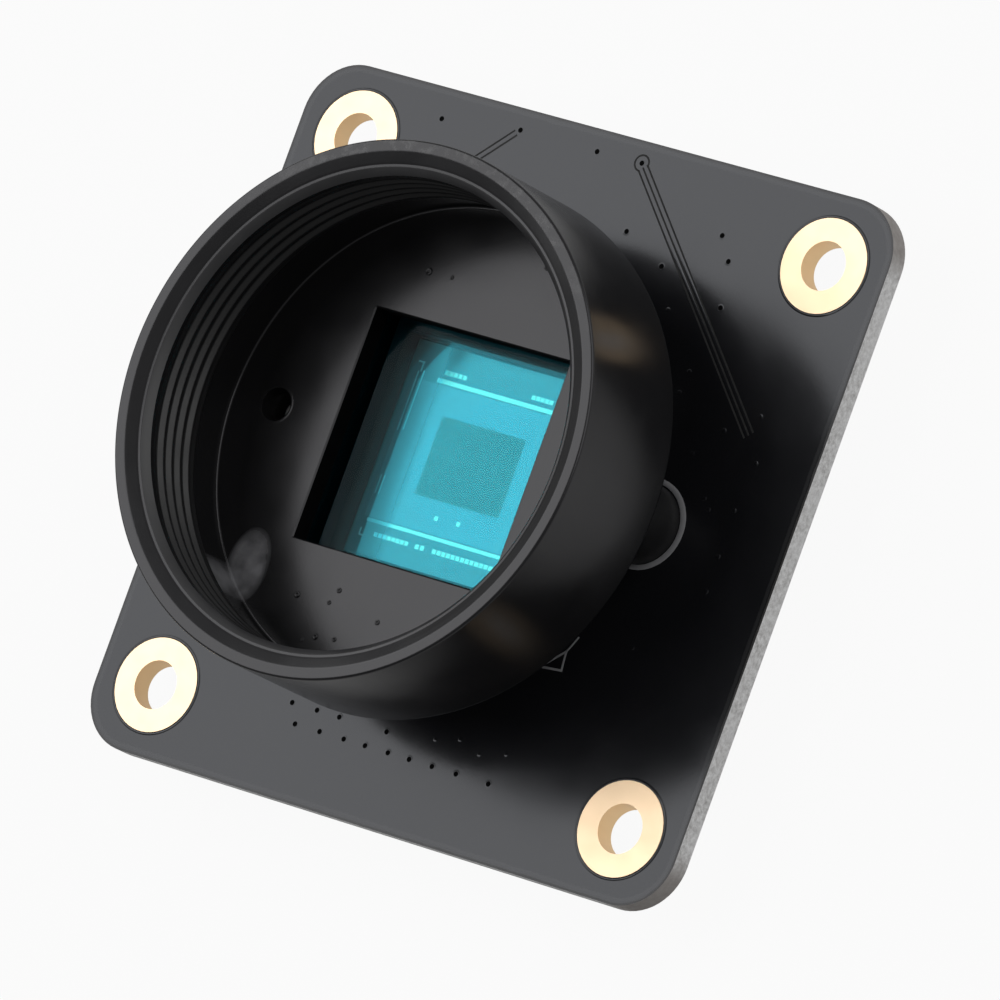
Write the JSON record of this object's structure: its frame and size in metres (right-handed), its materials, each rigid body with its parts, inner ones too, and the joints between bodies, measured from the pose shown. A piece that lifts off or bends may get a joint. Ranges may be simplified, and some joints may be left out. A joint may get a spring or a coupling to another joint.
{
  "type": "camera module",
  "caption": "Square black circuit board with plated corner holes that carries a round, internally threaded lens mount over an image sensor behind a cyan filter.",
  "frame": {"origin": "middle of the four corner holes on the board's front face, on the lens axis", "axes": "+Z along the lens axis out of the lens mount, +X and +Y along the board's edges, with the cable header at the -Y edge of the back"},
  "size_m": [0.0376, 0.0376, 0.0176],
  "materials": {
    "board_black": "semi-gloss black solder mask on glass-epoxy, pale at the sawn edge",
    "pad_gold": "bright gold plating",
    "mount_black": "satin moulded black plastic",
    "screw_steel": "zinc-plated",
    "filter_cyan": "polished infrared-cut glass, cyan",
    "cover_glass": "polished clear glass",
    "ceramic": "fired ceramic, dark grey",
    "silicon": "polished silicon",
    "header_plastic": "moulded, off-white",
    "contact_gold": "gold-plated",
    "tin_plating": "dull tin plating",
    "chip_black": "moulded epoxy, fine matt",
    "ferrite_grey": "pressed ferrite, matt",
    "crystal_lid": "plated lid on ceramic",
    "capacitor_tan": "fired ceramic with tin-plated ends",
    "resistor_black": "glazed black with tin-plated ends"
  },
  "bodies": {
    "root": {"bulk_capacitors": "capacitor_tan", "bypass_capacitors": "capacitor_tan", "cable_header_contacts": "contact_gold", "cable_header_housing": "header_plastic", "cable_header_tabs": "tin_plating", "circuit_board": "board_black", "crystal_oscillator": "crystal_lid", "filter_glass": "filter_cyan", "flash_memory": "chip_black", "image_processor": "chip_black", "lens_mount": "mount_black", "mount_screw_left": "screw_steel", "mount_screw_right": "screw_steel", "mounting_pad_1": "pad_gold", "mounting_pad_2": "pad_gold", "mounting_pad_3": "pad_gold", "mounting_pad_4": "pad_gold", "power_inductor": "ferrite_grey", "resistors": "resistor_black", "sensor_cover_glass": "cover_glass", "sensor_die": "silicon", "sensor_package": "ceramic", "voltage_regulator_1": "chip_black", "voltage_regulator_2": "chip_black"}
  },
  "joints": []
}
